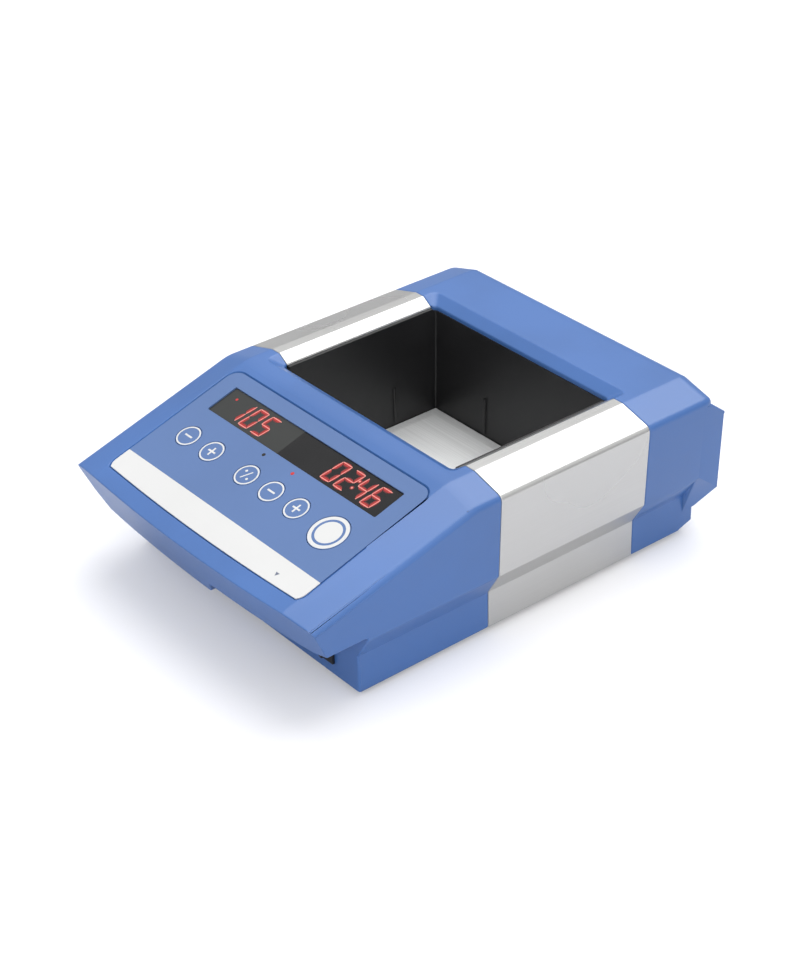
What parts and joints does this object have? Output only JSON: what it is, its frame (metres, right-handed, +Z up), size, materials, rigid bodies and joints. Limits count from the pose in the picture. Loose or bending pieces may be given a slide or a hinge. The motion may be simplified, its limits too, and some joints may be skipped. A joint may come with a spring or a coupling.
{
  "type": "dry bath incubator",
  "caption": "Bench dry bath incubator with an open well for a tube block, sloping key panel with two LED displays, blue moulded ends and aluminium side profiles",
  "frame": {"origin": "middle of the footprint, on the table", "axes": "+Z up; the key panel faces -Y; +X is to the right of a person who stands at the key panel"},
  "size_m": [0.2038, 0.2734, 0.0902],
  "materials": {
    "blue_plastic": "satin",
    "overlay_film": "matte",
    "silver_paint": "satin",
    "plain_aluminium": "satin",
    "black_plastic": "satin",
    "gloss_black": "gloss",
    "white_plastic": "matte",
    "smoked_window": "gloss",
    "zinc_steel": "satin",
    "foot_rubber": "matte",
    "silicone_mat": "matte",
    "wool_felt": "matte",
    "circuit_board": "satin",
    "red_lens": "gloss",
    "component_plastic": "satin",
    "capacitor_film": "gloss",
    "fuse_glass": "gloss",
    "brass_stud": "satin",
    "anodised_sink": "satin",
    "cable_grey": "satin",
    "terminal_green": "satin"
  },
  "bodies": {
    "instrument": {"front_housing": "blue_plastic", "rear_housing": "blue_plastic", "side_profile_left": "silver_paint", "side_profile_right": "silver_paint", "base_plate": "zinc_steel", "rubber_feet": "foot_rubber", "well_liner": "black_plastic", "heater_plate": "plain_aluminium", "heating_mat": "silicone_mat", "insulation_pad": "wool_felt", "insulation_jacket": "wool_felt", "temperature_sensor": "zinc_steel", "thermal_cutout": "zinc_steel", "plate_spacers": "zinc_steel", "keypad_overlay": "overlay_film", "label_strip": "white_plastic", "display_window": "smoked_window", "control_board": "circuit_board", "temperature_display": "gloss_black", "time_display": "gloss_black", "key_switches": "black_plastic", "indicator_lights": "red_lens", "power_switch_body": "black_plastic", "mains_inlet": "black_plastic", "sensor_socket": "black_plastic", "power_board": "circuit_board", "board_standoffs": "white_plastic", "transformer": "zinc_steel", "relay": "component_plastic", "filter_capacitors": "capacitor_film", "heat_sink": "anodised_sink", "triac": "black_plastic", "terminal_block": "terminal_green", "earth_stud": "brass_stud", "ribbon_cable": "cable_grey", "profile_screws": "zinc_steel", "base_screws": "zinc_steel", "board_screws": "zinc_steel", "plate_screws": "zinc_steel"},
    "power_rocker": {"power_rocker": "gloss_black"},
    "fuse_drawer": {"fuse_drawer": "black_plastic", "fuses": "fuse_glass"},
    "key_temperature_minus": {"key_temperature_minus": "overlay_film"},
    "key_temperature_plus": {"key_temperature_plus": "overlay_film"},
    "key_mode": {"key_mode": "overlay_film"},
    "key_timer_minus": {"key_timer_minus": "overlay_film"},
    "key_timer_plus": {"key_timer_plus": "overlay_film"},
    "key_start": {"key_start": "overlay_film"}
  },
  "joints": [
    {"name": "power_rocker_hinge", "type": "hinge", "parent": "instrument", "child": "power_rocker", "pos_m": [0.0579, -0.09765, 0.0207], "axis": [0, 0, 1], "range_deg": [0, 18]},
    {"name": "fuse_drawer_slide", "type": "slide", "parent": "instrument", "child": "fuse_drawer", "axis": [0, 1, 0], "range_m": [0, 0.014]},
    {"name": "key_temperature_minus_press", "type": "slide", "parent": "instrument", "child": "key_temperature_minus", "axis": [0, 0.2924, -0.9563], "range_m": [0, 0.0005], "stiffness_N_per_m": 1500, "springref_m": -0.0002},
    {"name": "key_temperature_plus_press", "type": "slide", "parent": "instrument", "child": "key_temperature_plus", "axis": [0, 0.2924, -0.9563], "range_m": [0, 0.0005], "stiffness_N_per_m": 1500, "springref_m": -0.0002},
    {"name": "key_mode_press", "type": "slide", "parent": "instrument", "child": "key_mode", "axis": [0, 0.2924, -0.9563], "range_m": [0, 0.0005], "stiffness_N_per_m": 1500, "springref_m": -0.0002},
    {"name": "key_timer_minus_press", "type": "slide", "parent": "instrument", "child": "key_timer_minus", "axis": [0, 0.2924, -0.9563], "range_m": [0, 0.0005], "stiffness_N_per_m": 1500, "springref_m": -0.0002},
    {"name": "key_timer_plus_press", "type": "slide", "parent": "instrument", "child": "key_timer_plus", "axis": [0, 0.2924, -0.9563], "range_m": [0, 0.0005], "stiffness_N_per_m": 1500, "springref_m": -0.0002},
    {"name": "key_start_press", "type": "slide", "parent": "instrument", "child": "key_start", "axis": [0, 0.2924, -0.9563], "range_m": [0, 0.0005], "stiffness_N_per_m": 1500, "springref_m": -0.0002}
  ]
}
